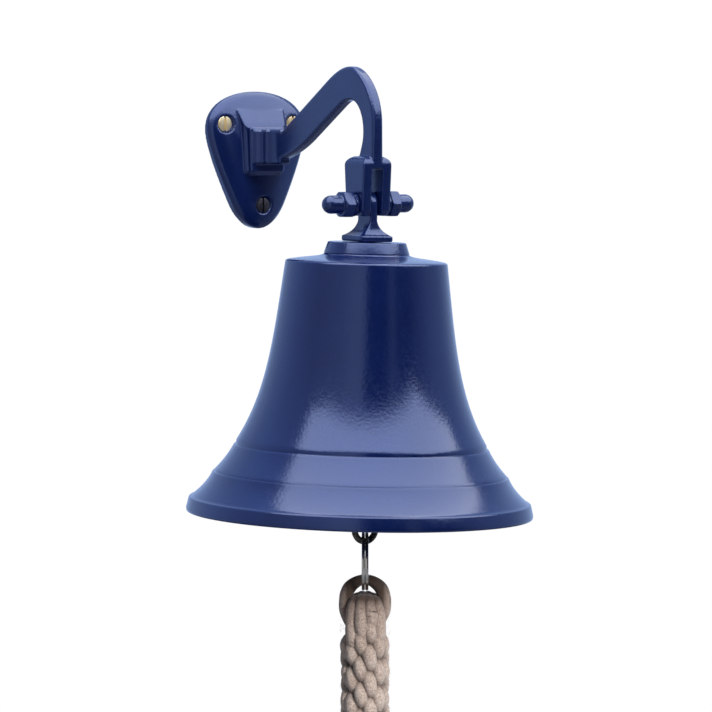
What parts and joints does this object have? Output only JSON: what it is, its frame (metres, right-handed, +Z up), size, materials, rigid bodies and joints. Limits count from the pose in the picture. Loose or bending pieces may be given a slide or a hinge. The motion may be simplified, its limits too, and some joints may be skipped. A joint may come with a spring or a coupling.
{
  "type": "wall mounted ship bell",
  "caption": "Flared bell hung from a swan-neck wall bracket, swinging on a cross bolt, with clapper, split ring and braided rope lanyard.",
  "frame": {"origin": "on the wall plate's flat back face, halfway between the plate's top and bottom and on its centre line", "axes": "+Y into the wall, -Y out towards the bell, +Z up, X across the plate and along the cross bolt"},
  "size_m": [0.1819, 0.2206, 0.528],
  "materials": {
    "bracket_paint": "gloss",
    "bell_paint": "gloss",
    "screw_brass": "satin",
    "bright_steel": "satin",
    "dark_iron": "satin",
    "cotton_rope": "matte"
  },
  "bodies": {
    "bracket": {"wall_plate": "bracket_paint", "bracket_arm": "bracket_paint", "arm_fixing_screw": "bright_steel", "wall_screw_left": "screw_brass", "wall_screw_right": "screw_brass", "wall_screw_bottom": "screw_brass", "pivot_bolt": "bracket_paint", "spring_washer_left": "bracket_paint", "spring_washer_right": "bracket_paint", "domed_nut_left": "bracket_paint", "domed_nut_right": "bracket_paint"},
    "bell": {"bell_shell": "bell_paint", "hanger": "bell_paint", "crown_collar": "bell_paint", "inside_washer": "bright_steel", "eye_nut": "dark_iron"},
    "link": {"clapper_link": "dark_iron"},
    "clapper": {"clapper_rod": "dark_iron", "clapper_ball": "dark_iron"},
    "key_ring": {"split_ring": "bright_steel"},
    "lanyard": {"lanyard_eye": "cotton_rope", "lanyard_braid": "cotton_rope", "lanyard_knot": "cotton_rope", "lanyard_tassel": "cotton_rope"}
  },
  "joints": [
    {"name": "bell_swing", "type": "hinge", "parent": "bracket", "child": "bell", "pos_m": [0, -0.118, -0.0215], "axis": [1, 0, 0], "range_deg": [-35, 8]},
    {"name": "clapper_swing", "type": "hinge", "parent": "bell", "child": "link", "pos_m": [-0.00157, -0.11761, -0.07778], "axis": [1, 0, 0], "range_deg": [-28, 30]},
    {"name": "clapper_sway", "type": "hinge", "parent": "link", "child": "clapper", "pos_m": [-0.00157, -0.11761, -0.09708], "axis": [0, 1, 0], "range_deg": [-6, 6]},
    {"name": "ring_swing", "type": "hinge", "parent": "clapper", "child": "key_ring", "pos_m": [-0.00157, -0.11761, -0.19838], "axis": [1, 0, 0], "range_deg": [-20, 20]},
    {"name": "lanyard_sway", "type": "hinge", "parent": "key_ring", "child": "lanyard", "pos_m": [-0.00157, -0.11761, -0.22298], "axis": [0.5299, 0.848, 0], "range_deg": [-15, 15]}
  ]
}
